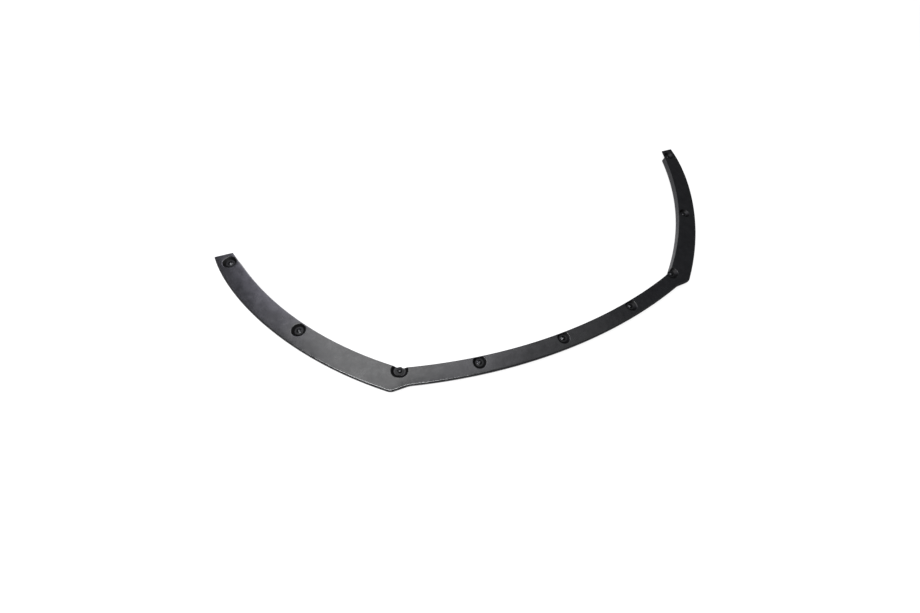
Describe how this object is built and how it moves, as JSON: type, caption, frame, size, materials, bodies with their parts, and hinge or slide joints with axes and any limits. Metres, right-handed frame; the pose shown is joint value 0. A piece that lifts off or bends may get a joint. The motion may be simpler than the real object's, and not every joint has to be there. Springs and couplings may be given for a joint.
{
  "type": "front splitter lip",
  "caption": "Thin U-shaped car splitter lip in satin black plastic: a bowed front, stepped corners and swept wings, with round recesses holding screws on washers.",
  "frame": {"origin": "under the middle of the whole part, at the level of the screw ends that it lies on", "axes": "+X to the right wing as the picture shows it, +Y from the bowed front edge back to the wing tips, +Z out of the road side, which faces up as in the picture; fitted to a car it is turned over about X"},
  "size_m": [1.706, 0.6, 0.0264],
  "materials": {
    "lip_plastic": "satin black moulded plastic with a very fine grain",
    "washer_steel": "steel with a black zinc coating",
    "screw_steel": "steel with a black zinc coating, a little glossier on the dome"
  },
  "bodies": {
    "root": {"splitter_lip": "lip_plastic", "washers": "washer_steel", "screws": "screw_steel"}
  },
  "joints": []
}
